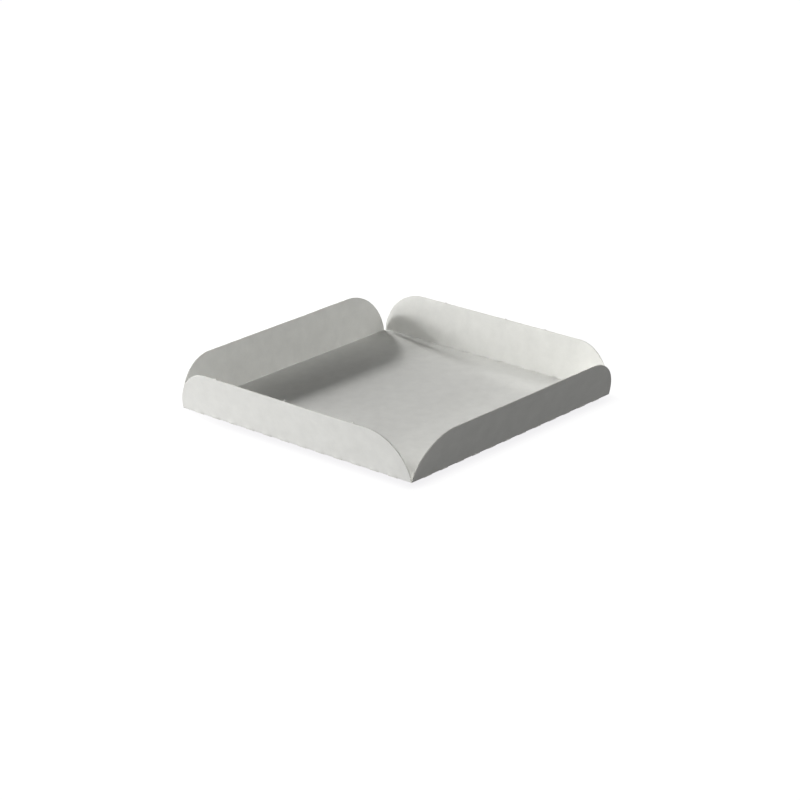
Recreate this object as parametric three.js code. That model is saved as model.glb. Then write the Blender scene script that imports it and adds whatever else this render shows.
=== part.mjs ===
// A square takeaway tray: one die-cut sheet of white paperboard, with four walls folded up
// along perforated creases. The walls have quarter-round ends and part at the corners.
//
// Millimetres. X and Y run along the sides, Z is up, and the origin is the centre of the
// base's underside.

import * as THREE from "three";

// The board and its folds
const BOARD = 0.5; // thickness of the sheet
const BASE_SIDE = 160; // outside, from fold to opposite fold
const WALL_LENGTH = 25; // along the board, from the outer fold corner to the top edge
const BEND_RADIUS = 0.3; // on the inner face of a creased stretch
const CORNER_GAP = 0.2; // between a fold's end and the neighbouring fold
const WALL_END_FOOT = 1.2; // height on the wall at which the quarter circle of its end starts
const WALL_END_GAP = 0.05; // from there to the neighbouring wall's inner face

// The cut and crease rule: cuts right through the fold, with creased stretches between them
const CUT_LENGTH = 6.2;
const CREASE_LENGTH = 6.1;
const END_CREASE_LEAST = 6; // shortest crease that is left at the ends of a fold
const CUT_END_TAPER = 0.3; // where the lips of a cut run out, at each of its ends
const CUT_LIP_GAP = 0.08; // between the two lips of a cut, where they nearly touch inside

// Nicks: stubs of the bridges that held the blank in the sheet until it was broken out
const NICK_WIDTH = 1.1;
const NICK_HEIGHT = 0.5;
const NICK_TIP_SHARE = 0.6; // width at the tip, as a share of the width at the root

// Each wall in turn, anticlockwise from the front, as seen from above. The lean is measured
// outwards from upright, and nicks are placed from the middle of the wall.
const WALLS = [
  { side: "front", leanDegrees: 11.8, nicks: [-50, 0, 46] },
  { side: "right", leanDegrees: 17.1, nicks: [] },
  { side: "back", leanDegrees: 7.5, nicks: [-33.5, -6, 37] },
  { side: "left", leanDegrees: 8.4, nicks: [] },
];

// Smoothness
const BEND_STEPS = 6;
const WALL_END_STEPS = 18;

const BOARD_COLOUR = 0xdedfda;

const halfSide = BASE_SIDE / 2;
const outerBendRadius = BEND_RADIUS + BOARD;
const middleBendRadius = BEND_RADIUS + BOARD / 2;

// A wall with the sizes that follow from its lean. Distance across the fold is counted along
// the board, outwards from the line where the bend starts.
function foldedWall(wall, index) {
  const lean = THREE.MathUtils.degToRad(wall.leanDegrees);
  const bendAngle = Math.PI / 2 - lean;
  const setback = outerBendRadius * Math.tan(bendAngle / 2);
  const bendLength = middleBendRadius * bendAngle;
  return {
    ...wall,
    bendAngle,
    setback,
    bendLength,
    facing: (index * Math.PI) / 2,
    // from the outer fold corner in to where a neighbour's end just clears this wall
    endClearance: BOARD / Math.cos(lean) - WALL_END_FOOT * Math.tan(lean) + WALL_END_GAP,
    lip: (BEND_RADIUS * (1 - Math.cos(bendAngle)) - CUT_LIP_GAP) / Math.sin(bendAngle),
  };
}

// The sheet as it is made: a plan of triangles, whose corners each carry one point on the
// inner face of the board and one on its outer face.
class Sheet {
  constructor() {
    this.inner = [];
    this.outer = [];
    this.triangles = [];
  }

  corner(inner, outer) {
    this.inner.push(inner);
    this.outer.push(outer);
    return this.inner.length - 1;
  }

  // Fills the strip between two rows of corners that run the same way, far from the base and
  // near to it. Each row is a list of { at, id }, with at growing along the row.
  fillStrip(farRow, nearRow) {
    let far = 0;
    let near = 0;
    while (far < farRow.length - 1 || near < nearRow.length - 1) {
      const farNext = far < farRow.length - 1 ? farRow[far + 1].at : Infinity;
      const nearNext = near < nearRow.length - 1 ? nearRow[near + 1].at : Infinity;
      if (farNext <= nearNext) {
        this.triangles.push([farRow[far].id, farRow[far + 1].id, nearRow[near].id]);
        far += 1;
      } else {
        this.triangles.push([farRow[far].id, nearRow[near + 1].id, nearRow[near].id]);
        near += 1;
      }
    }
  }

  // Closes the two faces with the cut edge of the board, wherever a triangle has no neighbour.
  geometry() {
    const count = this.inner.length;
    const used = new Set();
    for (const [a, b, c] of this.triangles) {
      for (const [from, to] of [[a, b], [b, c], [c, a]]) used.add(`${from} ${to}`);
    }
    const index = [];
    for (const [a, b, c] of this.triangles) {
      index.push(a, b, c, a + count, c + count, b + count);
      for (const [from, to] of [[a, b], [b, c], [c, a]]) {
        if (used.has(`${to} ${from}`)) continue;
        index.push(from, from + count, to + count, from, to + count, to);
      }
    }
    const geometry = new THREE.BufferGeometry();
    geometry.setFromPoints([...this.inner, ...this.outer]);
    geometry.setIndex(index);
    return geometry;
  }
}

// Adds one corner of the plan: along the wall from its middle, across the fold, and the share
// of the bend that is behind it, which is 0 in the base's plane and 1 in the wall's.
function addCorner(sheet, wall, along, across, bent) {
  const angle = bent * wall.bendAngle;
  const straight = across - bent * wall.bendLength;
  const points = [BOARD, 0].map((height) => {
    const radius = outerBendRadius - height;
    const outwards = radius * Math.sin(angle) + straight * Math.cos(angle);
    const up = outerBendRadius - radius * Math.cos(angle) + straight * Math.sin(angle);
    const point = new THREE.Vector3(along, wall.setback - halfSide - outwards, up);
    return point.applyAxisAngle(new THREE.Vector3(0, 0, 1), wall.facing);
  });
  return { at: along, id: sheet.corner(points[0], points[1]) };
}

function addRow(sheet, wall, places, across, bent) {
  return places.map((along) => addCorner(sheet, wall, along, across, bent));
}

// The cuts of one fold, centred on it: [start, end] of each, from the middle of the wall.
function cutSpans() {
  const pitch = CUT_LENGTH + CREASE_LENGTH;
  const room = BASE_SIDE - 2 * END_CREASE_LEAST + CREASE_LENGTH;
  const count = Math.floor(room / pitch);
  const first = -(count * pitch - CREASE_LENGTH) / 2;
  const spans = [];
  for (let cut = 0; cut < count; cut += 1) {
    const start = first + cut * pitch;
    spans.push([start, start + CUT_LENGTH]);
  }
  return spans;
}

// The two lips of a cut. The base's lip stays flat and the wall's stays in the wall's plane, so
// the cut gapes on the outside of the fold.
function addCutLips(sheet, wall, baseEdge, wallEdge) {
  const places = [baseEdge[0].at + CUT_END_TAPER, baseEdge[1].at - CUT_END_TAPER];
  sheet.fillStrip(addRow(sheet, wall, places, wall.lip, 0), baseEdge);
  sheet.fillStrip(wallEdge, addRow(sheet, wall, places, wall.bendLength - wall.lip, 1));
}

// A creased stretch, which bends round in a smooth curve.
function addCrease(sheet, wall, baseEdge, wallEdge) {
  const places = baseEdge.map((corner) => corner.at);
  let near = baseEdge;
  for (let step = 1; step < BEND_STEPS; step += 1) {
    const bent = step / BEND_STEPS;
    const far = addRow(sheet, wall, places, bent * wall.bendLength, bent);
    sheet.fillStrip(far, near);
    near = far;
  }
  sheet.fillStrip(wallEdge, near);
}

// The free edge of a wall: a quarter circle, the straight top with its nicks, and the other
// quarter circle. The nicks stand on the row that is returned.
function addFreeEdge(sheet, wall, previous, next) {
  const foot = wall.bendLength - wall.setback + WALL_END_FOOT;
  const radius = WALL_LENGTH - WALL_END_FOOT;
  const top = foot + radius;
  const place = (along, across) => addCorner(sheet, wall, along, across, 1);
  const quarter = (neighbour, way) => {
    const centre = way * (halfSide - neighbour.endClearance - radius);
    const row = [];
    for (let step = 0; step <= WALL_END_STEPS; step += 1) {
      const angle = ((step / WALL_END_STEPS) * Math.PI) / 2;
      const along = centre + way * radius * Math.cos(angle);
      row.push(place(along, foot + radius * Math.sin(angle)));
    }
    return row;
  };
  const topRow = wall.nicks.flatMap((middle) => {
    const root = [middle - NICK_WIDTH / 2, middle + NICK_WIDTH / 2];
    const tip = root.map((along) => middle + (along - middle) * NICK_TIP_SHARE);
    const rootRow = root.map((along) => place(along, top));
    sheet.fillStrip(tip.map((along) => place(along, top + NICK_HEIGHT)), rootRow);
    return rootRow;
  });
  return [...quarter(previous, -1), ...topRow, ...quarter(next, 1).reverse()];
}

// One wall with its fold. Returns the row of corners that it shares with the base.
function addWall(sheet, wall, previous, next) {
  const start = previous.setback + CORNER_GAP - halfSide;
  const end = halfSide - next.setback - CORNER_GAP;
  const cuts = cutSpans();
  const places = [start, ...cuts.flat(), end];
  const baseRow = addRow(sheet, wall, places, 0, 0);
  const wallRow = addRow(sheet, wall, places, wall.bendLength, 1);
  for (let stretch = 0; stretch < places.length - 1; stretch += 1) {
    const add = stretch % 2 === 0 ? addCrease : addCutLips;
    const span = [stretch, stretch + 2];
    add(sheet, wall, baseRow.slice(...span), wallRow.slice(...span));
  }
  sheet.fillStrip(addFreeEdge(sheet, wall, previous, next), wallRow);
  return baseRow;
}

// The base: a plain square in the middle, and a strip from it to the fold on each side.
function addBase(sheet, walls, baseRows) {
  const count = walls.length;
  const after = (index) => (index + 1) % count;
  const middleSide = BASE_SIDE / 2;
  const middleIds = walls.map((wall) => {
    const across = wall.setback - halfSide + middleSide / 2;
    return addCorner(sheet, wall, -middleSide / 2, across, 0).id;
  });
  const outerIds = walls.map((wall, index) => {
    const previous = walls[(index + count - 1) % count];
    return addCorner(sheet, wall, previous.setback - halfSide, 0, 0).id;
  });
  walls.forEach((wall, index) => {
    const next = after(index);
    const farRow = [
      { at: walls[(index + count - 1) % count].setback - halfSide, id: outerIds[index] },
      ...baseRows[index],
      { at: halfSide - walls[next].setback, id: outerIds[next] },
    ];
    const nearRow = [
      { at: -middleSide / 2, id: middleIds[index] },
      { at: middleSide / 2, id: middleIds[next] },
    ];
    sheet.fillStrip(farRow, nearRow);
  });
  const [a, b, c, d] = middleIds;
  sheet.triangles.push([a, b, c], [a, c, d]);
}

function foldedTray() {
  const sheet = new Sheet();
  const walls = WALLS.map(foldedWall);
  const count = walls.length;
  const baseRows = walls.map((wall, index) => {
    const previous = walls[(index + count - 1) % count];
    return addWall(sheet, wall, previous, walls[(index + 1) % count]);
  });
  addBase(sheet, walls, baseRows);
  const material = new THREE.MeshStandardMaterial({
    color: BOARD_COLOUR,
    roughness: 0.9,
    metalness: 0,
    flatShading: true,
  });
  const mesh = new THREE.Mesh(sheet.geometry(), material);
  mesh.name = "folded_tray";
  return mesh;
}

const tray = new THREE.Group();
tray.add(foldedTray());

export default tray;
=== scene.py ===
"""A square takeaway tray, folded from one die-cut sheet of white board, in a plain studio."""

import logging
import math
from dataclasses import dataclass, field
from enum import Enum
from typing import Any, NamedTuple

import bpy
import numpy as np
from mathutils import Matrix, Vector, noise


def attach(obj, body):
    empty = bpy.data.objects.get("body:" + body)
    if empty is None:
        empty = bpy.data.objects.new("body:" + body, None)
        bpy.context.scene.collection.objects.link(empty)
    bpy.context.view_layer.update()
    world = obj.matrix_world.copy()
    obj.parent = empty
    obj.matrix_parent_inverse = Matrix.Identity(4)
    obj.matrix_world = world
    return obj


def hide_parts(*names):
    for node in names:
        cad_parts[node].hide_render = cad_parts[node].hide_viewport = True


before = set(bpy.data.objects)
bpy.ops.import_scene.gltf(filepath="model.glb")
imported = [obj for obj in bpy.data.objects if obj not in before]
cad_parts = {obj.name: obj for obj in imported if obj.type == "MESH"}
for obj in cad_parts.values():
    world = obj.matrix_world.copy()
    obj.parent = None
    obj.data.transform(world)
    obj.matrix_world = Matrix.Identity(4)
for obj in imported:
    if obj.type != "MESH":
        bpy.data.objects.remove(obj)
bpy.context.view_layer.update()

log = logging.getLogger("tray")

MM = 0.001
CAD_NODE = "folded_tray"
BODY = "root"
HAIR = 1e-6  # places that are closer than this many millimetres are one place
WHITE = "#ffffff"


class Side(Enum):
    """The four walls, anticlockwise from the front as seen from above."""

    FRONT = 0
    RIGHT = 1
    BACK = 2
    LEFT = 3


def linear(hex_colour: str) -> tuple[float, float, float, float]:
    """Turns an sRGB colour such as #dfe0da into linear light.

    Args:
        hex_colour: The colour, as a hash and six hex digits.

    Returns:
        Red, green, blue and an alpha of 1.
    """
    channels = [int(hex_colour[start : start + 2], 16) / 255 for start in (1, 3, 5)]
    light = [c / 12.92 if c <= 0.04045 else ((c + 0.055) / 1.055) ** 2.4 for c in channels]
    return (*light, 1.0)


def add_node(tree: Any, kind: str, settings: dict | None = None, inputs: dict | None = None) -> Any:
    """Adds one node to a tree, with its settings and what goes into it.

    Args:
        tree: A shader or geometry node tree.
        kind: The node's type name.
        settings: Attributes of the node.
        inputs: Each input, by name or number, with a value or the socket that feeds it.

    Returns:
        The node.
    """
    node = tree.nodes.new(kind)
    for name, value in (settings or {}).items():
        setattr(node, name, value)
    for key, value in (inputs or {}).items():
        if isinstance(value, bpy.types.NodeSocket):
            tree.links.new(value, node.inputs[key])
        else:
            node.inputs[key].default_value = value
    return node


def empty_material(name: str) -> bpy.types.Material:
    """Makes a material whose tree has no nodes yet.

    Args:
        name: The material's name.

    Returns:
        The material.
    """
    material = bpy.data.materials.new(name)
    material.use_nodes = True
    material.node_tree.nodes.clear()
    return material


def direction(azimuth: float, elevation: float) -> Vector:
    """Finds the way from the tray to something that stands round it.

    Args:
        azimuth: Degrees round the tray, from 0 in front of it to 90 on its right.
        elevation: Degrees up from the floor.

    Returns:
        A unit vector.
    """
    around, up = math.radians(azimuth), math.radians(elevation)
    level = math.cos(up)
    return Vector((math.sin(around) * level, -math.cos(around) * level, math.sin(up)))


def smoothstep(share: float) -> float:
    """Eases a share from 0 to 1, held at both ends."""
    held = min(max(share, 0.0), 1.0)
    return held * held * (3 - 2 * held)


# How the sheet is cut and folded


@dataclass(frozen=True)
class Board:
    """The sheet itself, in millimetres."""

    thickness: float = 0.5
    bend_radius: float = 0.3
    edge_chamfer: float = 0.05
    bead_height: float = 0.27
    bead_reach: float = 1.0

    @property
    def outer_bend_radius(self) -> float:
        """The radius of a crease on the outer face."""
        return self.bend_radius + self.thickness

    @property
    def middle_bend_radius(self) -> float:
        """The radius of a crease half-way through the board."""
        return self.bend_radius + self.thickness / 2


@dataclass(frozen=True)
class FoldRule:
    """The die's cut and crease rule, in millimetres: cuts with creased stretches between."""

    cut_length: float = 6.2
    crease_length: float = 6.1
    end_crease_least: float = 6.0
    cut_end_taper: float = 0.3

    def cuts(self, side: float) -> list[tuple[float, float]]:
        """Places the cuts of one fold.

        Args:
            side: The length of the base's side.

        Returns:
            The start and end of each cut, from the middle of the wall.
        """
        pitch = self.cut_length + self.crease_length
        count = int((side - 2 * self.end_crease_least + self.crease_length) // pitch)
        first = -(count * pitch - self.crease_length) / 2
        starts = [first + cut * pitch for cut in range(count)]
        return [(start, start + self.cut_length) for start in starts]

    def arch(self, side: float, along: float) -> float:
        """Shapes what is strongest in the middle of each cut.

        Args:
            side: The length of the base's side.
            along: A place along the fold, from the middle of the wall.

        Returns:
            0 outside the cuts and at their ends, and up to 1 half-way along each.
        """
        for start, end in self.cuts(side):
            if start < along < end:
                return math.sin(math.pi * (along - start) / (end - start))
        return 0.0


@dataclass(frozen=True)
class Nick:
    """A stub left on a free edge where the blank was broken out of its sheet, in millimetres."""

    middle: float
    width: float = 1.1
    height: float = 0.5
    tip_share: float = 0.6
    tip_heights: tuple[float, ...] = (0.6, 1.0, 0.75)


@dataclass(frozen=True)
class WallEnd:
    """A wall's rounded end, in millimetres: how far it is trimmed in, and its curve's run."""

    trim: float
    run: float = 25.0


@dataclass(frozen=True)
class Fold:
    """One wall's fold and the wall beyond it, in millimetres."""

    side: Side
    lean_degrees: float
    nicks: tuple[Nick, ...]
    board: Board
    ends: tuple[WallEnd, WallEnd]
    base_side: float = 160.0
    wall_length: float = 25.0
    wall_end_foot: float = 1.2
    lip_overlap: float = 0.45
    lip_gap: float = 0.02

    @property
    def lean(self) -> float:
        """How far the wall leans outwards from upright, in radians."""
        return math.radians(self.lean_degrees)

    @property
    def bend_angle(self) -> float:
        """How far the wall is turned up from flat, in radians."""
        return math.pi / 2 - self.lean

    @property
    def setback(self) -> float:
        """From the outer fold corner back to where the bend starts."""
        return self.board.outer_bend_radius * math.tan(self.bend_angle / 2)

    @property
    def bend_length(self) -> float:
        """The length of board in the bend, half-way through its thickness."""
        return self.board.middle_bend_radius * self.bend_angle

    @property
    def fold_corner(self) -> float:
        """How far across the fold the outer fold corner lies, as the wall's plane counts it."""
        return self.bend_length - self.setback

    def end_height(self, end: WallEnd, run: float) -> float:
        """Finds how high up the wall the curve of its end is.

        Args:
            end: The wall's end.
            run: How far in from the end.

        Returns:
            The height, measured up the wall.
        """
        foot = 1 - math.sqrt(1 - (self.wall_end_foot / self.wall_length) ** 2)
        chord = max(1 - foot - run / end.run, 0.0)
        return self.wall_length * math.sqrt(1 - chord**2)

    @property
    def inner_corner(self) -> float:
        """From where the bend starts to where the inner faces would meet if it were sharp."""
        return self.board.bend_radius * math.tan(self.bend_angle / 2)

    @property
    def base_lip(self) -> float:
        """How far the base's lip of a cut runs on flat, past where the bend starts."""
        return self.inner_corner + self.lip_overlap

    @property
    def wall_lip(self) -> float:
        """How far down past the bend the wall's lip of a cut ends, just above the base's lip."""
        return self.inner_corner - self.lip_gap - self.lip_overlap * math.tan(self.lean)

    @property
    def base_reach(self) -> float:
        """From the middle of the base to where the bend starts."""
        return self.base_side / 2 - self.setback


# The flat blank


class Corner(NamedTuple):
    """A corner of the blank's plan, by its wall's own measures."""

    wall: int
    along: float
    across: float
    bent: float


class Station(NamedTuple):
    """A corner on a row: how far along the row it is, and its number."""

    at: float
    number: int


Row = list[Station]


@dataclass
class Blank:
    """The blank in plan: corners, and the faces between them."""

    folds: list[Fold]
    corners: list[Corner] = field(default_factory=list)
    faces: list[tuple[int, ...]] = field(default_factory=list)
    sharpest: float = 0.4

    def add(self, wall: int, along: float, across: float, bent: float) -> Station:
        """Adds a corner to the plan."""
        self.corners.append(Corner(wall, along, across, bent))
        return Station(along, len(self.corners) - 1)

    def add_row(self, wall: int, places: list[float], across: float, bent: float) -> Row:
        """Adds a row of corners at one distance across the fold."""
        return [self.add(wall, along, across, bent) for along in places]

    def fill_grid(self, far: Row, near: Row) -> None:
        """Fills between two rows of equal count with quads."""
        for ring in zip(far, far[1:], near[1:], near):
            self.faces.append(tuple(station.number for station in ring))

    def fill_strip(self, far: Row, near: Row) -> None:
        """Fills between two rows of any count with triangles, in step along them.

        Args:
            far: The row that is further out.
            near: The row that is nearer the middle of the base.
        """
        here, there = 0, 0
        while here < len(far) - 1 or there < len(near) - 1:
            far_next = far[here + 1].at if here < len(far) - 1 else math.inf
            near_next = near[there + 1].at if there < len(near) - 1 else math.inf
            if far_next <= near_next:
                ring = (far[here], far[here + 1], near[there])
                here += 1
            else:
                ring = (far[here], near[there + 1], near[there])
                there += 1
            self.faces.append(tuple(station.number for station in ring))

    def flat_place(self, corner: Corner) -> np.ndarray:
        """Finds where a corner lies in the flat blank.

        Args:
            corner: The corner, by its wall's own measures.

        Returns:
            X and Y, in millimetres.
        """
        fold = self.folds[corner.wall]
        facing = corner.wall * math.pi / 2
        out = fold.base_reach + corner.across
        turned = complex(corner.along, -out) * complex(math.cos(facing), math.sin(facing))
        return np.array([turned.real, turned.imag])

    def border(self) -> list[tuple[int, int]]:
        """Finds the edges that have a face on one side only.

        Returns:
            The start and end of each, with the board on its left.
        """
        edges = set()
        for face in self.faces:
            edges.update(zip(face, face[1:] + face[:1]))
        return sorted(edge for edge in edges if (edge[1], edge[0]) not in edges)

    def insets(self, border: list[tuple[int, int]]) -> dict[int, np.ndarray]:
        """Finds the way into the board from each corner of the border.

        Args:
            border: The border's edges.

        Returns:
            For each corner on the border, a vector in the flat blank that moves it in by
            one unit from both of its edges.
        """
        normals: dict[int, list[np.ndarray]] = {}
        for start, end in border:
            run = self.flat_place(self.corners[end]) - self.flat_place(self.corners[start])
            inwards = np.array([-run[1], run[0]]) / np.linalg.norm(run)
            normals.setdefault(start, []).append(inwards)
            normals.setdefault(end, []).append(inwards)
        moves = {}
        for number, (first, second) in normals.items():
            moves[number] = (first + second) / max(1 + float(first @ second), self.sharpest)
        return moves


@dataclass
class BlankMaker:
    """Draws the blank, in millimetres: base, folds, walls and nicks."""

    folds: list[Fold]
    rule: FoldRule
    corner_gap: float = 0.03
    fan_width: float = 5.0
    fan_share: float = 0.4
    bend_steps: int = 8
    wall_rows: int = 16
    wall_row_bias: float = 1.4
    wall_end_steps: int = 22
    longest_step: float = 1.2
    closest_columns: float = 0.12
    base_step: float = 1.6
    base_tip: float = 0.35
    base_rings: tuple[float, ...] = (0.4, 1.0)
    grid_margin: float = 2.0
    lip_rows: list[Row] = field(default_factory=list)
    nick_rows: list[Row] = field(default_factory=list)

    def __post_init__(self) -> None:
        """Starts the plan."""
        self.blank = Blank(self.folds)

    def make(self) -> Blank:
        """Draws the whole blank.

        Returns:
            The blank's plan.
        """
        edge_rows = [self.add_wall(wall) for wall in range(len(self.folds))]
        self.add_base(edge_rows)
        return self.blank

    def fold_ends(self, wall: int) -> tuple[float, float]:
        """Where a wall's fold starts and ends, just clear of its neighbours' folds."""
        before, after = self.folds[wall - 1], self.folds[(wall + 1) % len(self.folds)]
        return self.corner_gap - before.base_reach, after.base_reach - self.corner_gap

    def wall_ends(self, wall: int) -> tuple[float, float]:
        """Where a wall's own ends are, by how far each is trimmed in from the corner."""
        (first, last), half = self.folds[wall].ends, self.folds[wall].base_side / 2
        return first.trim - half, half - last.trim

    def fan_out(self, wall: int, along: float) -> float:
        """Spreads a wall's columns, from the ends of its fold to the ends of the wall itself.

        Args:
            wall: The wall's number.
            along: Where the column is in the fold.

        Returns:
            How far the column moves along the wall.
        """
        fold_start, fold_end = self.fold_ends(wall)
        start, end = self.wall_ends(wall)
        near_start = max(1 - (along - fold_start) / self.fan_width, 0.0)
        near_end = max(1 - (fold_end - along) / self.fan_width, 0.0)
        return (start - fold_start) * near_start + (end - fold_end) * near_end

    def places(self, wall: int) -> list[float]:
        """Finds the columns of a wall, which all its rows share.

        Args:
            wall: The wall's number.

        Returns:
            Places along the wall, from its middle.
        """
        fold = self.folds[wall]
        start, end = self.fold_ends(wall)
        kept = {start, end}
        for cut_start, cut_end in self.rule.cuts(fold.base_side):
            taper = self.rule.cut_end_taper
            kept.update((cut_start, cut_start + taper, cut_end - taper, cut_end))
        for nick in fold.nicks:
            kept.update((nick.middle - nick.width / 2, nick.middle, nick.middle + nick.width / 2))
        for step in range(1, self.wall_end_steps + 1):
            run = 1 - math.cos(math.pi / 2 * step / self.wall_end_steps)
            for place in (start + run * fold.ends[0].run, end - run * fold.ends[1].run):
                if min(abs(place - other) for other in kept) > self.closest_columns:
                    kept.add(place)
        ordered = sorted(kept)
        columns = [ordered[0]]
        for place in ordered[1:]:
            steps = math.ceil((place - columns[-1]) / self.longest_step)
            columns += list(np.linspace(columns[-1], place, steps + 1)[1:])
        return [float(column) for column in columns]

    def free_edge(self, wall: int, along: float) -> float:
        """Finds the wall's free edge.

        Args:
            wall: The wall's number.
            along: A place along the wall.

        Returns:
            How far across the fold the edge is there.
        """
        fold = self.folds[wall]
        start, end = self.wall_ends(wall)
        runs = (along - start, end - along)
        return fold.fold_corner + min(map(fold.end_height, fold.ends, runs))

    def add_wall(self, wall: int) -> Row:
        """Adds one wall with its fold.

        Args:
            wall: The wall's number.

        Returns:
            The row that the wall shares with the base.
        """
        fold = self.folds[wall]
        places = self.places(wall)
        base_row = self.blank.add_row(wall, places, 0.0, 0.0)
        fanned = [along + self.fan_out(wall, along) for along in places]
        wall_row = []
        for place, along in zip(places, fanned):
            lip = fold.wall_lip if self.in_cut(wall, place) else 0.0
            wall_row.append(self.blank.add(wall, along, fold.bend_length - lip, 1.0))
        bounds = [places[0], *sum(self.rule.cuts(fold.base_side), ()), places[-1]]
        numbers = [min(range(len(places)), key=lambda i: abs(places[i] - b)) for b in bounds]
        assert all(abs(places[i] - b) < HAIR for i, b in zip(numbers, bounds))
        for stretch, (first, last) in enumerate(zip(numbers, numbers[1:])):
            span = slice(first, last + 1)
            if stretch % 2 == 0:
                self.add_crease(wall, base_row[span], wall_row[span])
            else:
                self.add_cut(wall, base_row[span], wall_row[span])
        near = wall_row
        for row in range(1, self.wall_rows + 1):
            share = (row / self.wall_rows) ** self.wall_row_bias
            far = []
            for along in fanned:
                rise = share * (self.free_edge(wall, along) - fold.bend_length)
                far.append(self.blank.add(wall, along, fold.bend_length + rise, 1.0))
            self.blank.fill_grid(far, near)
            near = far
        for nick in fold.nicks:
            self.add_nick(wall, nick, near)
        return base_row

    def in_cut(self, wall: int, along: float) -> bool:
        """Whether a place is on the open part of a cut, past the taper at its ends."""
        least, cuts = self.rule.cut_end_taper - HAIR, self.rule.cuts(self.folds[wall].base_side)
        return any(start + least <= along <= end - least for start, end in cuts)

    def add_crease(self, wall: int, base_edge: Row, wall_edge: Row) -> None:
        """Adds a creased stretch, which bends round in a smooth curve.

        Args:
            wall: The wall's number.
            base_edge: The stretch of the base's row.
            wall_edge: The stretch of the wall's row.
        """
        places = [station.at for station in base_edge]
        near = base_edge
        for step in range(1, self.bend_steps):
            bent = step / self.bend_steps
            spread = min(bent / self.fan_share, 1.0)
            moved = [along + spread * self.fan_out(wall, along) for along in places]
            far = self.blank.add_row(wall, moved, bent * self.folds[wall].bend_length, bent)
            self.blank.fill_grid(far, near)
            near = far
        self.blank.fill_grid(wall_edge, near)

    def add_cut(self, wall: int, base_edge: Row, wall_edge: Row) -> None:
        """Adds the base's lip of a cut, below the wall's.

        Args:
            wall: The wall's number.
            base_edge: The cut's stretch of the base's row.
            wall_edge: The cut's stretch of the wall's row, which is the wall's lip already.
        """
        fold = self.folds[wall]
        places = [station.at for station in base_edge[1:-1]]
        base_lip = self.blank.add_row(wall, places, fold.base_lip, 0.0)
        self.blank.fill_strip(base_lip, base_edge)
        self.lip_rows += [base_lip, wall_edge[1:-1]]

    def add_nick(self, wall: int, nick: Nick, edge: Row) -> None:
        """Adds a torn stub on a wall's free edge.

        Args:
            wall: The wall's number.
            nick: The stub.
            edge: The row of the free edge.
        """
        root = [s for s in edge if abs(s.at - nick.middle) <= nick.width / 2 + HAIR]
        tip = []
        for station in root:
            off = (station.at - nick.middle) / (nick.width / 2)
            share = float(np.interp(off, (-1.0, 0.0, 1.0), nick.tip_heights))
            across = self.blank.corners[station.number].across + share * nick.height
            along = nick.middle + (station.at - nick.middle) * nick.tip_share
            tip.append(self.blank.add(wall, along, across, 1.0))
        self.blank.fill_grid(tip, root)
        self.nick_rows.append(tip)

    def add_base(self, edge_rows: list[Row]) -> None:
        """Adds the base: rings in from the folds, and a plain grid inside them.

        Args:
            edge_rows: For each wall, the row that it shares with the base.
        """
        count = len(self.folds)
        reaches = [fold.base_reach for fold in self.folds]
        tip = self.base_tip
        outer = [self.blank.add(wall, -reaches[wall - 1] - tip, tip, 0.0) for wall in range(count)]
        rings = []
        for wall in range(count):
            end = Station(reaches[(wall + 1) % count], outer[(wall + 1) % count].number)
            rings.append([outer[wall], *edge_rows[wall], end])
        for inset in self.base_rings:
            rings = self.add_base_ring(rings, inset)
        half = min(reaches) - self.grid_margin
        grid_count = math.ceil(2 * half / self.base_step)
        lines = [float(place) for place in np.linspace(-half, half, grid_count + 1)]
        grid = [[self.blank.add(0, x, -reaches[0] - y, 0.0) for x in lines] for y in lines]
        for lower, upper in zip(grid, grid[1:]):
            self.blank.fill_grid(lower, upper)
        sides = [grid[0], [row[-1] for row in grid], grid[-1][::-1], [row[0] for row in grid][::-1]]
        for ring, side in zip(rings, sides):
            near = [Station(place, station.number) for place, station in zip(lines, side)]
            self.blank.fill_strip(ring, near)

    def add_base_ring(self, rings: list[Row], inset: float) -> list[Row]:
        """Adds a ring of the base, a little further in than the last one.

        Args:
            rings: The last ring, as one row for each side, which share their corners.
            inset: How far inside the folds the new ring lies.

        Returns:
            The new ring, in the same form.
        """
        count = len(rings)
        reaches = [fold.base_reach - inset for fold in self.folds]
        new_rings: list[Row] = []
        for wall, ring in enumerate(rings):
            ends = (-reaches[wall - 1], reaches[(wall + 1) % count])
            share = (ends[1] - ends[0]) / (ring[-1].at - ring[0].at)
            places = [ends[0] + (station.at - ring[0].at) * share for station in ring[:-1]]
            new_rings.append(self.blank.add_row(wall, places, -inset, 0.0))
        closed = []
        for wall, row in enumerate(new_rings):
            corner = new_rings[(wall + 1) % count][0]
            closed.append([*row, Station(reaches[(wall + 1) % count], corner.number)])
        for ring, row in zip(rings, closed):
            self.blank.fill_grid(ring, row)
        return closed


# From the plan to a sheet with a thickness


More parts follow.
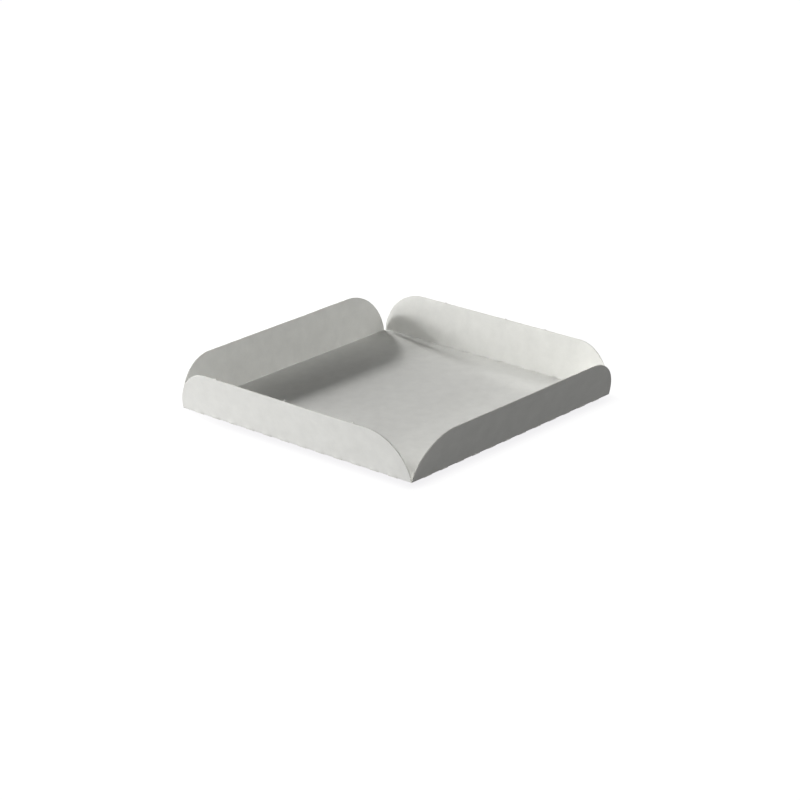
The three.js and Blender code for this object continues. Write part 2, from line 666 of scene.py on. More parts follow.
@dataclass
class SheetMesh:
    """The flat blank as a closed sheet, with what each point needs to be folded, in millimetres."""

    blank: Blank
    board: Board
    rule: FoldRule
    bead_tail: float = 4.0
    bead_fade: float = 0.6
    mitre_depth: float = 0.3
    mitre_reach: float = 2.0
    mitre_height: float = 4.0
    inner_bevel: float = 0.42
    outer_bevel: float = 0.1
    tip_height: float = 0.15
    tip_mitre: float = 0.25
    points: list[tuple[int, float]] = field(default_factory=list)
    moves: list[np.ndarray] = field(default_factory=list)
    faces: list[tuple[int, ...]] = field(default_factory=list)
    edge_faces: list[bool] = field(default_factory=list)
    layers: dict[int, list[int]] = field(default_factory=dict)

    def bead(self, corner: Corner) -> float:
        """Shapes the bead that each crease raises inside the fold.

        Args:
            corner: A corner of the plan.

        Returns:
            How far the bead stands up there.
        """
        fold = self.blank.folds[corner.wall]
        off = (corner.across - fold.bend_length / 2) / self.board.bead_reach
        cuts = self.rule.cuts(fold.base_side)
        if abs(off) > self.bead_tail or not cuts[0][0] < corner.along < cuts[-1][1]:
            return 0.0
        share = 1.0
        for start, end in cuts:
            from_cut = max(start - corner.along, corner.along - end, 0.0)
            share = min(share, smoothstep(from_cut / self.bead_fade))
        return self.board.bead_height * share * math.exp(-off * off)

    def mitre(self, corner: Corner) -> float:
        """Cuts the inner face further back where two walls' ends meet.

        Args:
            corner: A corner of the plan.

        Returns:
            How far it is cut back there.
        """
        fold = self.blank.folds[corner.wall]
        rise = corner.across - fold.bend_length
        if corner.bent == 0.0 or abs(corner.along) < fold.base_side / 2 - self.mitre_reach:
            return 0.0
        return self.mitre_depth * corner.bent * smoothstep(1 - rise / self.mitre_height)

    def crush(self, corner: Corner) -> float:
        """Bevels the wall's lip of each cut, where the die has crushed it.

        Args:
            corner: A corner of the plan.

        Returns:
            The share of the full bevel that the lip has there.
        """
        fold = self.blank.folds[corner.wall]
        if corner.bent < 1.0 or corner.across >= fold.bend_length:
            return 0.0
        return self.rule.arch(fold.base_side, corner.along)

    def build(self) -> None:
        """Gives the plan its two faces and a chamfered cut edge."""
        border = self.blank.border()
        insets = self.blank.insets(border)
        still = np.zeros(2)
        thickness, chamfer = self.board.thickness, self.board.edge_chamfer
        for number, corner in enumerate(self.blank.corners):
            top = thickness + self.bead(corner)
            if number in insets:
                way = insets[number]
                move, mitre, crush = way * chamfer, self.mitre(corner), self.crush(corner)
                inside = way * (mitre + self.inner_bevel * crush)
                outside = way * self.outer_bevel * crush
                rings = (
                    (top, move + inside),
                    (thickness - chamfer, inside),
                    (self.tip_height, way * mitre * self.tip_mitre),
                    (chamfer, outside),
                    (0.0, move + outside),
                )
            else:
                rings = ((top, still), (0.0, still))
            self.layers[number] = list(range(len(self.points), len(self.points) + len(rings)))
            self.points += [(number, height) for height, _ in rings]
            self.moves += [move for _, move in rings]
        for face in self.blank.faces:
            self.faces.append(tuple(self.layers[number][0] for number in face))
            self.faces.append(tuple(self.layers[number][-1] for number in reversed(face)))
            self.edge_faces += [False, False]
        for start, end in border:
            for ring in range(len(self.layers[start]) - 1):
                upper, lower = self.layers[start][ring : ring + 2]
                end_upper, end_lower = self.layers[end][ring : ring + 2]
                self.faces.append((upper, lower, end_lower, end_upper))
                self.edge_faces.append(True)

    def to_mesh(self, name: str) -> bpy.types.Mesh:
        """Makes the flat mesh, in metres, with its folding attributes.

        Args:
            name: The mesh's name.

        Returns:
            The mesh.
        """
        values: dict[str, list[float]] = {key: [] for key in ("along", "across", "bent", "height")}
        walls, places = [], []
        for (number, height), move in zip(self.points, self.moves):
            corner = self.blank.corners[number]
            flat = self.blank.flat_place(corner) + move
            turned = complex(*move) * complex(0, -1) ** corner.wall
            walls.append(corner.wall)
            places.append((flat[0] * MM, flat[1] * MM, height * MM))
            values["along"].append((corner.along + turned.real) * MM)
            values["across"].append((corner.across - turned.imag) * MM)
            values["bent"].append(corner.bent)
            values["height"].append(height * MM)
        mesh = bpy.data.meshes.new(name)
        mesh.from_pydata(places, [], self.faces)
        mesh.attributes.new("wall", "INT", "POINT").data.foreach_set("value", walls)
        for key, column in values.items():
            mesh.attributes.new(key, "FLOAT", "POINT").data.foreach_set("value", column)
        edges = mesh.attributes.new("cut_edge", "BOOLEAN", "FACE")
        edges.data.foreach_set("value", self.edge_faces)
        return mesh


# Geometry node trees


SOCKET_KINDS = {
    float: "NodeSocketFloat",
    int: "NodeSocketInt",
    bpy.types.Material: "NodeSocketMaterial",
}


@dataclass
class GeometryTree:
    """A geometry node tree with named inputs, and its use on an object."""

    name: str
    inputs: dict[str, float | int | bpy.types.Material]

    def __post_init__(self) -> None:
        """Makes the empty tree and its interface."""
        self.tree = bpy.data.node_groups.new(self.name, "GeometryNodeTree")
        face = self.tree.interface
        face.new_socket("Geometry", in_out="INPUT", socket_type="NodeSocketGeometry")
        face.new_socket("Geometry", in_out="OUTPUT", socket_type="NodeSocketGeometry")
        for name, value in self.inputs.items():
            face.new_socket(name, in_out="INPUT", socket_type=SOCKET_KINDS[type(value)])
        self.source = self.tree.nodes.new("NodeGroupInput")
        self.result = self.tree.nodes.new("NodeGroupOutput")

    def node(self, kind: str, inputs: dict | None = None, **settings: Any) -> Any:
        """Adds a node to this tree."""
        return add_node(self.tree, kind, settings, inputs)

    def math(self, operation: str, *values: Any) -> Any:
        """Adds a math node and returns its output."""
        return self.node("ShaderNodeMath", dict(enumerate(values)), operation=operation).outputs[0]

    def attribute(self, name: str, data_type: str = "FLOAT") -> Any:
        """Reads a named attribute and returns its output."""
        kind = "GeometryNodeInputNamedAttribute"
        return self.node(kind, {"Name": name}, data_type=data_type).outputs["Attribute"]

    def finish(self, geometry: Any, materials: list[tuple[Any, Any]]) -> None:
        """Ends the tree in Realize Instances and Set Material.

        Args:
            geometry: The socket that carries the shape.
            materials: Each material's socket, with the selection it goes on, or None.
        """
        made = self.node("GeometryNodeRealizeInstances", {0: geometry}).outputs[0]
        for material, selection in materials:
            chosen = {} if selection is None else {"Selection": selection}
            inputs = {"Geometry": made, "Material": material, **chosen}
            made = self.node("GeometryNodeSetMaterial", inputs).outputs[0]
        self.tree.links.new(made, self.result.inputs[0])

    def apply(self, mesh: bpy.types.Mesh, name: str) -> bpy.types.Object:
        """Runs the tree on a mesh and keeps the result as a plain mesh.

        Args:
            mesh: What the tree starts from.
            name: The name of the finished piece.

        Returns:
            A new object at the origin, with no modifier.
        """
        source = bpy.data.objects.new(name + "_source", mesh)
        bpy.context.scene.collection.objects.link(source)
        modifier = source.modifiers.new(self.name, "NODES")
        modifier.node_group = self.tree
        items = self.tree.interface.items_tree
        sockets = {item.name: item.identifier for item in items if item.in_out == "INPUT"}
        for given, value in self.inputs.items():
            modifier[sockets[given]] = value
        evaluated = source.evaluated_get(bpy.context.evaluated_depsgraph_get())
        plain = bpy.data.meshes.new_from_object(evaluated)
        plain.name = name
        source.modifiers.remove(modifier)
        bpy.data.objects.remove(source)
        bpy.data.meshes.remove(mesh)
        piece = bpy.data.objects.new(name, plain)
        bpy.context.scene.collection.objects.link(piece)
        return piece


def folding_tree(folds: list[Fold], board: Board, faces: Any, cut_edge: Any) -> GeometryTree:
    """Builds the tree that folds the flat blank by the one rule of its creases.

    Args:
        folds: The four folds, in order.
        board: The sheet.
        faces: The material of the board's two faces.
        cut_edge: The material of its cut edge.

    Returns:
        The tree.
    """
    leans = [f"{fold.side.name.title()} lean" for fold in folds]
    tree = GeometryTree(
        "Fold the blank",
        {
            "Base side": folds[0].base_side * MM,
            "Board thickness": board.thickness * MM,
            "Bend radius": board.bend_radius * MM,
            **{name: fold.lean for name, fold in zip(leans, folds)},
            "Board": faces,
            "Cut edge": cut_edge,
        },
    )
    given = tree.source.outputs
    wall = tree.attribute("wall", "INT")
    switch = tree.node("GeometryNodeIndexSwitch", {"Index": wall}, data_type="FLOAT")
    for _ in folds[2:]:
        switch.index_switch_items.new()
    for index, name in enumerate(leans):
        tree.tree.links.new(given[name], switch.inputs[index + 1])
    thickness, bend_radius = given["Board thickness"], given["Bend radius"]
    bend = tree.math("SUBTRACT", math.pi / 2, switch.outputs[0])
    outer_radius = tree.math("ADD", bend_radius, thickness)
    middle_radius = tree.math("MULTIPLY_ADD", thickness, 0.5, bend_radius)
    half_bend = tree.math("DIVIDE", bend, 2.0)
    setback = tree.math("MULTIPLY", outer_radius, tree.math("TANGENT", half_bend))
    bent = tree.attribute("bent")
    angle = tree.math("MULTIPLY", bent, bend)
    curved = tree.math("MULTIPLY", angle, middle_radius)
    straight = tree.math("SUBTRACT", tree.attribute("across"), curved)
    radius = tree.math("SUBTRACT", outer_radius, tree.attribute("height"))
    sine, cosine = tree.math("SINE", angle), tree.math("COSINE", angle)
    run = tree.math("MULTIPLY_ADD", radius, sine, tree.math("MULTIPLY", straight, cosine))
    drop = tree.math("SUBTRACT", outer_radius, tree.math("MULTIPLY", radius, cosine))
    up = tree.math("MULTIPLY_ADD", straight, sine, drop)
    half = tree.math("DIVIDE", given["Base side"], 2.0)
    back = tree.math("SUBTRACT", tree.math("SUBTRACT", setback, half), run)
    place = tree.node("ShaderNodeCombineXYZ", {"X": tree.attribute("along"), "Y": back, "Z": up})
    facing = tree.math("MULTIPLY", wall, math.pi / 2)
    inputs = {"Vector": place.outputs[0], "Angle": facing}
    turned = tree.node("ShaderNodeVectorRotate", inputs, rotation_type="Z_AXIS")
    inputs = {"Geometry": given["Geometry"], "Position": turned.outputs[0]}
    folded = tree.node("GeometryNodeSetPosition", inputs).outputs[0]
    edge = tree.attribute("cut_edge", "BOOLEAN")
    tree.finish(folded, [(given["Board"], None), (given["Cut edge"], edge)])
    return tree


def fibre_tree(
    material: Any, spacing: float, length: float, thickness: float, seed: int
) -> GeometryTree:
    """Builds the tree that sets torn fibres along the cut edges.

    Args:
        material: The fibres' material.
        spacing: The distance between fibres along the edge, in metres.
        length: The length of the longest fibre, in metres.
        thickness: The diameter of a fibre at its root, in metres.
        seed: The seed of their lengths and directions.

    Returns:
        The tree.
    """
    tree = GeometryTree(
        "Torn fibres",
        {
            "Spacing": spacing,
            "Length": length,
            "Thickness": thickness,
            "Seed": seed,
            "Fibre": material,
        },
    )
    given = tree.source.outputs
    curve = tree.node("GeometryNodeMeshToCurve", {"Mesh": given["Geometry"]}).outputs[0]
    inputs = {"Curve": curve, "Length": given["Spacing"]}
    points = tree.node("GeometryNodeResampleCurve", inputs, mode="LENGTH").outputs[0]
    half_thickness = tree.math("DIVIDE", given["Thickness"], 2.0)
    stray, shortest, tip_share = 0.75, 0.25, 0.25
    fibre = tree.node(
        "GeometryNodeMeshCone",
        {
            "Vertices": 4,
            "Radius Top": tree.math("MULTIPLY", half_thickness, tip_share),
            "Radius Bottom": half_thickness,
            "Depth": given["Length"],
        },
        fill_type="NGON",
    ).outputs["Mesh"]
    spread = tree.node(
        "FunctionNodeRandomValue",
        {0: (-stray,) * 3, 1: (stray,) * 3, "Seed": given["Seed"]},
        data_type="FLOAT_VECTOR",
    ).outputs[0]
    outwards = tree.attribute("outwards", "FLOAT_VECTOR")
    way = tree.node("ShaderNodeVectorMath", {0: outwards, 1: spread}, operation="ADD").outputs[0]
    turn = tree.node("FunctionNodeAlignRotationToVector", {"Vector": way}, axis="Z").outputs[0]
    size = {2: shortest, 3: 1.0, "Seed": tree.math("ADD", given["Seed"], 1.0)}
    scale = tree.node("FunctionNodeRandomValue", size, data_type="FLOAT").outputs[1]
    placed = {"Points": points, "Instance": fibre, "Rotation": turn, "Scale": scale}
    fibres = tree.node("GeometryNodeInstanceOnPoints", placed).outputs[0]
    tree.finish(fibres, [(given["Fibre"], None)])
    return tree


# Finishes


@dataclass(frozen=True)
class BoardFinish:
    """What the board's finishes share: two tones mixed by noise, on a matt, raised grain."""

    name: str
    light: str
    dark: str
    roughness: float
    grain_depth: float
    grain_strength: float
    refraction: float = 1.45

    def add_noise(self, tree: Any, size: float, detail: float, roughness: float) -> Any:
        """Adds noise in the object's own space.

        Args:
            tree: The material's tree.
            size: How large the noise is, in millimetres.
            detail: How many times it repeats at half the size.
            roughness: How strong each repeat is against the last.

        Returns:
            The noise's output.
        """
        place = add_node(tree, "ShaderNodeTexCoord").outputs["Object"]
        scale = 1 / (size * MM)
        inputs = {"Vector": place, "Scale": scale, "Detail": detail, "Roughness": roughness}
        return add_node(tree, "ShaderNodeTexNoise", inputs=inputs).outputs[0]

    def finish(self, tree: Any, share: Any, grain: Any) -> None:
        """Ends a tree in the board's shader.

        Args:
            tree: The material's tree.
            share: The socket that mixes the colour, from dark to light.
            grain: The socket that raises the surface.
        """
        tones = {0: share, 6: linear(self.dark), 7: linear(self.light)}
        colour = add_node(tree, "ShaderNodeMix", {"data_type": "RGBA"}, tones).outputs[2]
        relief = {"Strength": self.grain_strength, "Distance": self.grain_depth * MM, "Height": grain}
        bump = add_node(tree, "ShaderNodeBump", inputs=relief).outputs[0]
        surface = {
            "Base Color": colour,
            "Roughness": self.roughness,
            "IOR": self.refraction,
            "Normal": bump,
        }
        shader = add_node(tree, "ShaderNodeBsdfPrincipled", inputs=surface).outputs[0]
        add_node(tree, "ShaderNodeOutputMaterial", inputs={"Surface": shader})


@dataclass(frozen=True)
class UncoatedBoard(BoardFinish):
    """Uncoated white folding board, pressed from fibre: matt, with a faint cloudy formation."""

    name: str = "uncoated_white_board"
    light: str = "#efefeb"
    dark: str = "#e3e3df"
    roughness: float = 0.88
    grain_depth: float = 0.02
    grain_strength: float = 0.5
    cloud_size: float = 7.0
    fibre_size: float = 0.45
    fibre_share: float = 0.35
    tone_range: tuple[float, float] = (0.35, 1.0)

    def make(self) -> bpy.types.Material:
        """Builds the material.

        Returns:
            The material.
        """
        material = empty_material(self.name)
        tree = material.node_tree
        # Formation clouds: fibre flocks of about 7 mm that light and shade the sheet softly.
        clouds = self.add_noise(tree, self.cloud_size, 4.0, 0.6)
        # Fibres: single fibres are about 0.03 mm thick, drawn as tufts so that they show.
        fibres = self.add_noise(tree, self.fibre_size, 3.0, 0.7)
        both = {0: fibres, 1: self.fibre_share, 2: clouds}
        mixed = add_node(tree, "ShaderNodeMath", {"operation": "MULTIPLY_ADD"}, both).outputs[0]
        least, most = self.tone_range
        tones = {"Value": mixed, "From Min": least, "From Max": most}
        share = add_node(tree, "ShaderNodeMapRange", inputs=tones).outputs[0]
        self.finish(tree, share, fibres)
        return material


@dataclass(frozen=True)
class CutBoardEdge(BoardFinish):
    """The die-cut edge of the board: raw fibre in layers, a little rougher and greyer."""

    name: str = "cut_board_edge"
    light: str = "#e8e8e2"
    dark: str = "#d8d8d1"
    roughness: float = 0.95
    grain_depth: float = 0.02
    grain_strength: float = 0.6
    layer_size: float = 0.08

    def make(self) -> bpy.types.Material:
        """Builds the material.

        Returns:
            The material.
        """
        material = empty_material(self.name)
        # Layers: the plies of pressed fibre that the die has cut across.
        layers = self.add_noise(material.node_tree, self.layer_size, 2.0, 0.5)
        self.finish(material.node_tree, layers, layers)
        return material


# The tray


@dataclass(frozen=True)
class Dent:
    """A soft groove pressed into the base between raised shoulders, in millimetres."""

    start: tuple[float, float]
    end: tuple[float, float]
    width: float
    depth: float
    shoulder: float = 3.0
    fade: float = 0.7

    def drop(self, x: float, y: float) -> float:
        """Shapes the dent, whose groove stays in the base's true plane between its shoulders.

        Args:
            x: A place on the base.
            y: A place on the base.

        Returns:
            How far the base is lowered there, which is 0 or less.
        """
        origin = Vector(self.start)
        line = Vector(self.end) - origin
        share = min(max((Vector((x, y)) - origin).dot(line) / line.length_squared, 0.0), 1.0)
        off = (Vector((x, y)) - origin - line * share).length / self.width
        groove = math.exp(-off * off) - math.exp(-((off / self.shoulder) ** 2))
        return self.depth * groove * (1 - self.fade * share)


@dataclass(frozen=True)
class Handling:
    """How the sheet has been bent off its true form, by folding and by hand, in millimetres."""

    bows: tuple[float, ...] = (0.25, 0.2, -0.2, 0.25)
    ripple: float = 0.18
    ripple_size: float = 45.0
    ripple_spacing: float = 50.0
    base_wave: float = 0.12
    base_wave_size: float = 60.0
    base_wave_level: float = 3.0
    flares: tuple[float, ...] = (0.0, 0.0, 0.0, 0.55)
    flare_starts: tuple[float, float] = (-15.0, -40.0)
    lip_bulges: tuple[float, ...] = (0.3, 0.03, 0.3, 0.3)
    lip_bulge_height: float = 1.6
    dents: tuple[Dent, ...] = (
        Dent((-79.0, 79.0), (-62.0, 64.0), 2.2, 0.4),
        Dent((41.5, -49.5), (44.6, -43.0), 0.9, 0.16),
    )

    def lift(self, x: float, y: float) -> float:
        """How far the base stands off the surface it rests on."""
        wave = noise.noise(Vector((x, y, self.base_wave_level)) / self.base_wave_size)
        return self.base_wave * max(wave, 0.0) - sum(dent.drop(x, y) for dent in self.dents)

    def bulge(self, fold: Fold, rule: FoldRule, along: float, rise: float) -> float:
        """How far the wall's lip of a cut stands out, most in the middle of the cut."""
        most = self.lip_bulges[fold.side.value] * math.exp(-((rise / self.lip_bulge_height) ** 2))
        return most * rule.arch(fold.base_side, along)

    def push(self, fold: Fold, along: float, rise: float) -> float:
        """Bows, ripples and flares a wall.

        Args:
            fold: The wall's fold.
            along: A place along the wall.
            rise: Its height up the wall.

        Returns:
            How far the wall is pushed outwards there.
        """
        share = max(rise, 0.0) / fold.wall_length
        bow = self.bows[fold.side.value] * (1 - (2 * along / fold.base_side) ** 2)
        spot = Vector((along, rise, self.ripple_spacing * fold.side.value)) / self.ripple_size
        start, end = self.flare_starts
        flare = self.flares[fold.side.value] * smoothstep((along - start) / (end - start))
        return share * (bow + flare + self.ripple * noise.noise(spot))


@dataclass
class FoldedTray:
    """The tray's one sheet of board, with the torn fibres on its cuts."""

    board: Board = field(default_factory=Board)
    rule: FoldRule = field(default_factory=FoldRule)
    handling: Handling = field(default_factory=Handling)
    leans: tuple[float, ...] = (11.8, 17.1, 7.5, 8.4)
    ends: tuple[tuple[WallEnd, WallEnd], ...] = (
        (WallEnd(0.1, 23.5), WallEnd(0.1)),
        (WallEnd(0.15, 24.0), WallEnd(0.9, 23.3)),
        (WallEnd(1.2, 22.0), WallEnd(0.1, 25.6)),
        (WallEnd(1.3, 25.0), WallEnd(0.0, 23.8)),
    )
    nicks: tuple[tuple[Nick, ...], ...] = (
        (
            Nick(-50.2, 2.6, 0.7, 1.0, (0.1, 0.5, 1.0)),
            Nick(-0.4, 1.3, 1.3, 0.5, (0.5, 0.7, 1.0)),
            Nick(46.3, 1.3, 1.0, 0.8, (0.2, 0.5, 1.0)),
        ),
        (),
        (Nick(-33.5), Nick(-6.0), Nick(37.0)),
        (),
    )
    sharp_angle: float = 30.0
    fibre_spacing: float = 0.7
    fibre_length: float = 0.28
    fibre_thickness: float = 0.03
    fibre_seed: int = 11

    def folds(self) -> list[Fold]:
        """Lists the four folds, from the front anticlockwise."""
        each = zip(Side, self.leans, self.nicks, self.ends)
        return [Fold(side, lean, nicks, self.board, ends) for side, lean, nicks, ends in each]

    def build(self) -> list[bpy.types.Object]:
        """Builds the sheet and its fibres, and dresses them.

        Returns:
            The finished pieces.
        """
        folds = self.folds()
        maker = BlankMaker(folds, self.rule)
        sheet = SheetMesh(maker.make(), self.board, self.rule)
        sheet.build()
        tree = folding_tree(folds, self.board, UncoatedBoard().make(), CutBoardEdge().make())
        piece = tree.apply(sheet.to_mesh("flat_blank"), "folded_board_sheet")
        self.bend_by_hand(piece.data, folds, sheet)
        piece.data.shade_smooth()
        piece.data.set_sharp_from_angle(angle=math.radians(self.sharp_angle))
        fibres = self.add_fibres(piece.data, sheet, maker)
        for name in ("wall", "along", "across", "bent", "height", "cut_edge"):
            piece.data.attributes.remove(piece.data.attributes[name])
        return [piece, fibres]

    def bend_by_hand(self, mesh: bpy.types.Mesh, folds: list[Fold], sheet: SheetMesh) -> None:
        """Moves the folded sheet's points by the small bends that handling has left.

        Args:
            mesh: The folded sheet.
            folds: The four folds.
            sheet: Its plan, with one point for each of the mesh's.
        """
        for vertex, (number, _) in zip(mesh.vertices, sheet.points):
            corner = sheet.blank.corners[number]
            fold = folds[corner.wall]
            foot = corner._replace(across=min(corner.across, 0.0))
            x, y = sheet.blank.flat_place(foot)
            vertex.co.z += self.handling.lift(x, y) * MM
            rise = corner.across - fold.bend_length
            if corner.bent == 1.0:
                bulge = self.handling.bulge(fold, self.rule, corner.along, rise)
                push = (self.handling.push(fold, corner.along, rise) + bulge) * MM
                facing = corner.wall * math.pi / 2
                vertex.co.x += push * math.sin(facing)
                vertex.co.y -= push * math.cos(facing)

    def add_fibres(
        self, mesh: bpy.types.Mesh, sheet: SheetMesh, maker: BlankMaker
    ) -> bpy.types.Object:
        """Adds torn fibres along the lips of the cuts and the tips of the nicks.

        Args:
            mesh: The folded sheet.
            sheet: Its layers, which say which points are on a lip.
            maker: What drew the blank, which holds the rows of the lips and the nicks.

        Returns:
            The fibres, as one piece.
        """
        points, edges, outwards = [], [], []
        upper, lower = 1, 3
        for row in maker.lip_rows + maker.nick_rows:
            for layer, way in ((upper, -1), (lower, 1)):
                start = len(points)
                for station in row:
                    layers = sheet.layers[station.number]
                    points.append(mesh.vertices[layers[layer]].co.copy())
                    down = mesh.vertices[layers[lower]].co - mesh.vertices[layers[upper]].co
                    outwards.append(down.normalized() * way)
                edges += [(index, index + 1) for index in range(start, len(points) - 1)]
        lines = bpy.data.meshes.new("torn_edges")
        lines.from_pydata(points, edges, [])
        attribute = lines.attributes.new("outwards", "FLOAT_VECTOR", "POINT")
        attribute.data.foreach_set("vector", [value for vector in outwards for value in vector])
        tree = fibre_tree(
            bpy.data.materials[CutBoardEdge.name],
            self.fibre_spacing * MM,
            self.fibre_length * MM,
            self.fibre_thickness * MM,
            self.fibre_seed,
        )
        piece = tree.apply(lines, "torn_fibres")
        for vertex in piece.data.vertices:
            vertex.co.z = max(vertex.co.z, 0.0)
        return piece


# The studio


@dataclass(frozen=True)
class Softbox:
    """A round area light that faces the tray, with its sizes in metres."""

    name: str
    azimuth: float
    elevation: float
    power: float
    diameter: float = 0.5
    distance: float = 1.2

    def add(self) -> None:
        """Adds the light to the scene."""
        data = bpy.data.lights.new(self.name, "AREA")
        data.energy = self.power
        data.shape = "DISK"
        data.size = self.diameter
        way = direction(self.azimuth, self.elevation)
        light = bpy.data.objects.new(self.name, data)
        light.location = way * self.distance
        light.rotation_euler = way.to_track_quat("Z", "Y").to_euler()
        bpy.context.scene.collection.objects.link(light)


@dataclass(frozen=True)
class Studio:
    """A pale floor, soft light and the camera, in millimetres."""

    azimuth: float = 41.708
    elevation: float = 20.949
    roll: float = -0.673
    distance: float = 1375.169
    focal_pixels: float = 2597.104
    picture_pixels: int = 800
    sensor: float = 36.0
    aim_right: float = 1.343
    aim_up: float = 0.479
    farthest: float = 100000.0
    floor_side: float = 40000.0
    floor_glow: float = 1.0
    floor_colour: str = "#303030"
    # The reach, colour and fades below shape a painted shade round the tray's foot, put into the
    # floor's glow.
    foot_half: float = 80.0
    contact_reach: float = 12.5
    painted_shade_colour: str = "#edecee"
    left_fade: tuple[float, float] = (-85.0, -30.0)
    left_least: float = 0.3
    back_fade: tuple[float, float] = (88.0, 66.0)
    bounce_glow: float = 0.528
    bounce_reach: float = 1500.0
    bounce_start: float = 80.0
    bounce_height: float = -0.5
    lights: tuple[Softbox, ...] = (
        Softbox("key", -60.0, 24.0, 2.64, 0.12, 0.9),
        Softbox("key_low", -67.5, 17.0, 2.1, 0.12, 0.9),
        Softbox("key_spread", -60.0, 8.0, 4.79),
        Softbox("left_rim", -112.5, 24.0, 3.44, 0.12, 0.9),
        Softbox("left_low", -97.5, 10.0, 9.35, 0.12, 0.9),
        Softbox("front_fill", 0.0, 8.0, 3.5),
        Softbox("right_fill", 90.0, 20.0, 2.3),
        Softbox("back_fill", 120.0, 35.0, 2.29),
    )

    def add_camera(self) -> None:
        """Adds the camera, where the photograph's perspective puts it."""
        back = direction(self.azimuth, self.elevation)
        level = direction(self.azimuth + 90, 0.0)
        rise = back.cross(level)
        eye = (back * self.distance + level * self.aim_right + rise * self.aim_up) * MM
        turn = Matrix.Rotation(math.radians(self.roll), 3, back)
        axes = Matrix((turn @ level, turn @ rise, back)).transposed()
        data = bpy.data.cameras.new("camera")
        data.sensor_width = self.sensor
        data.lens = self.focal_pixels / self.picture_pixels * self.sensor
        data.clip_end = self.farthest * MM
        camera = bpy.data.objects.new("camera", data)
        camera.matrix_world = Matrix.Translation(eye) @ axes.to_4x4()
        bpy.context.scene.collection.objects.link(camera)
        bpy.context.scene.camera = camera

    def painted_contact_shade(self, tree: Any) -> Any:
        """Adds a painted shade close round the tray's foot, which fades to the left and the back.

        Args:
            tree: The tree of the floor's material.

        Returns:
            The socket that carries it, from 0 for none to 1 for the most.
        """
        place = add_node(tree, "ShaderNodeTexCoord").outputs["Object"]
        foot = (self.foot_half * MM, self.foot_half * MM, 1.0)
        past = place
        for operation, inputs in (("ABSOLUTE", {}), ("SUBTRACT", {1: foot}), ("MAXIMUM", {})):
            settings = {"operation": operation}
            past = add_node(tree, "ShaderNodeVectorMath", settings, {0: past, **inputs}).outputs[0]
        length = add_node(tree, "ShaderNodeVectorMath", {"operation": "LENGTH"}, {0: past})
        parts = add_node(tree, "ShaderNodeSeparateXYZ", inputs={0: place}).outputs
        shade = 1.0
        for value, (start, end), least in (
            (length.outputs["Value"], (self.contact_reach, 0.0), 0.0),
            (parts["X"], self.left_fade, self.left_least),
            (parts["Y"], self.back_fade, 0.0),
        ):
            inputs = {"Value": value, "From Min": start * MM, "From Max": end * MM, "To Min": least}
            ramp = {"interpolation_type": "SMOOTHSTEP"}
            step = add_node(tree, "ShaderNodeMapRange", ramp, inputs).outputs[0]
            product = {"operation": "MULTIPLY"}
            shade = add_node(tree, "ShaderNodeMath", product, {0: step, 1: shade}).outputs[0]
        return shade

    def add_floor(self) -> None:
        """Adds the pale floor, with a glow of its own that keeps it white, and a painted shade round
        the tray's foot.
        """
        half = self.floor_side / 2
        corners = [(-half, -half), (half, -half), (half, half), (-half, half)]
        floor = self.add_plane("floor", corners, 0.0)
        material = empty_material("pale_studio_floor")
        tree = material.node_tree
        # The glow is white, and a painted shade dims it to a faint violet round the tray's foot.
        shade = self.painted_contact_shade(tree)
        colours = {0: shade, 6: linear(WHITE), 7: linear(self.painted_shade_colour)}
        glow = add_node(tree, "ShaderNodeMix", {"data_type": "RGBA"}, colours).outputs[2]
        inputs = {
            "Base Color": linear(self.floor_colour),
            "Roughness": 1.0,
            "Emission Color": glow,
            "Emission Strength": self.floor_glow,
        }
        shader = add_node(tree, "ShaderNodeBsdfPrincipled", inputs=inputs).outputs[0]
        add_node(tree, "ShaderNodeOutputMaterial", inputs={"Surface": shader})
        floor.data.materials.append(material)
        floor.visible_diffuse = False
        floor.visible_glossy = False
        floor.visible_shadow = False

    def add_bounce(self) -> None:
        """Adds the light that the floor in front of the tray throws up at it."""
        far, near = self.bounce_reach, self.bounce_start
        corners = [(-far, -far), (far, -far), (near, -near), (-near, -near)]
        bounce = self.add_plane("bounce", corners, self.bounce_height)
        material = empty_material("floor_bounce")
        tree = material.node_tree
        inputs = {"Color": linear(WHITE), "Strength": self.bounce_glow}
        glow = add_node(tree, "ShaderNodeEmission", inputs=inputs).outputs[0]
        add_node(tree, "ShaderNodeOutputMaterial", inputs={"Surface": glow})
        bounce.data.materials.append(material)
        bounce.visible_camera = False

    def add_plane(self, name: str, corners: list[tuple[float, float]], z: float) -> bpy.types.Object:
        """Adds a flat face of the stage.

        Args:
            name: The object's name.
            corners: Its corners in millimetres, anticlockwise from above.
            z: Its height in millimetres.

        Returns:
            The object.
        """
        mesh = bpy.data.meshes.new(name)
        places = [(x * MM, y * MM, z * MM) for x, y in corners]
        mesh.from_pydata(places, [], [tuple(range(len(corners)))])
        plane = bpy.data.objects.new(name, mesh)
        bpy.context.scene.collection.objects.link(plane)
        return plane

    def add_light(self) -> None:
        """Adds the softboxes, and a white room that is seen but gives no light."""
        for light in self.lights:
            light.add()
        world = bpy.data.worlds.new("studio")
        world.use_nodes = True
        tree = world.node_tree
        tree.nodes.clear()
        glow = add_node(tree, "ShaderNodeBackground", inputs={"Color": linear(WHITE)}).outputs[0]
        add_node(tree, "ShaderNodeOutputWorld", inputs={"Surface": glow})
        bpy.context.scene.world = world
        world.cycles_visibility.diffuse = False
        world.cycles_visibility.glossy = False
        bpy.context.scene.view_settings.view_transform = "Standard"

    def build(self) -> None:
        """Adds everything that the tray is seen in and by."""
        self.add_camera()
        self.add_floor()
        self.add_bounce()
        self.add_light()


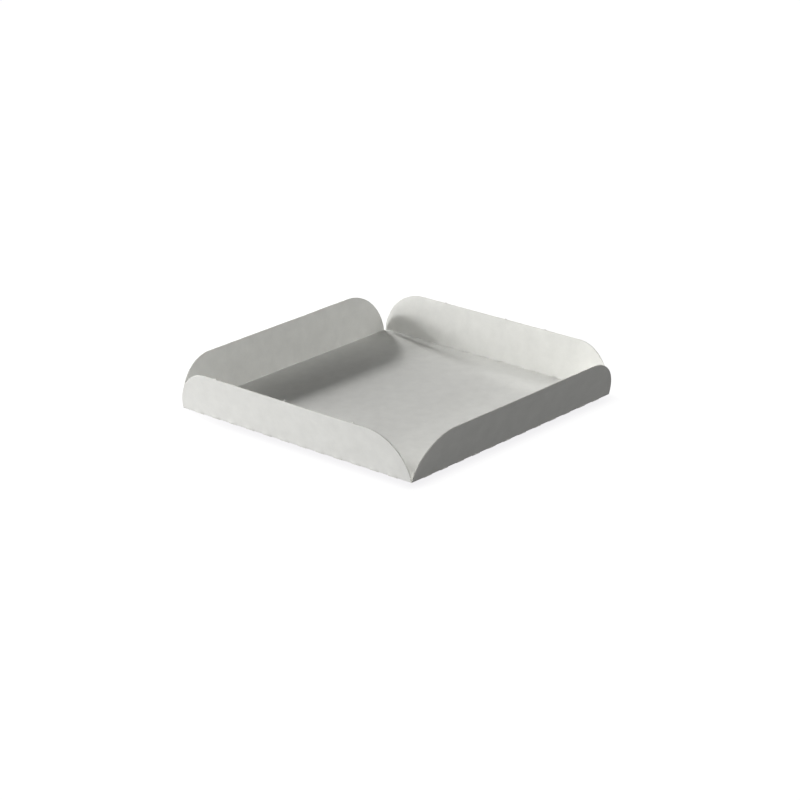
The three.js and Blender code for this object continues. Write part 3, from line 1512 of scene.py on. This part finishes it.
def main() -> None:
    """Builds the studio and the tray, in order, and reports each piece."""
    logging.basicConfig(level=logging.INFO, format="%(name)s: %(message)s")
    Studio().build()
    for piece in FoldedTray().build():
        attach(piece, BODY)
        if piece.name.startswith("folded"):
            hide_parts(CAD_NODE)
        log.info("%s: %d faces", piece.name, len(piece.data.polygons))


if __name__ == "__main__":
    main()
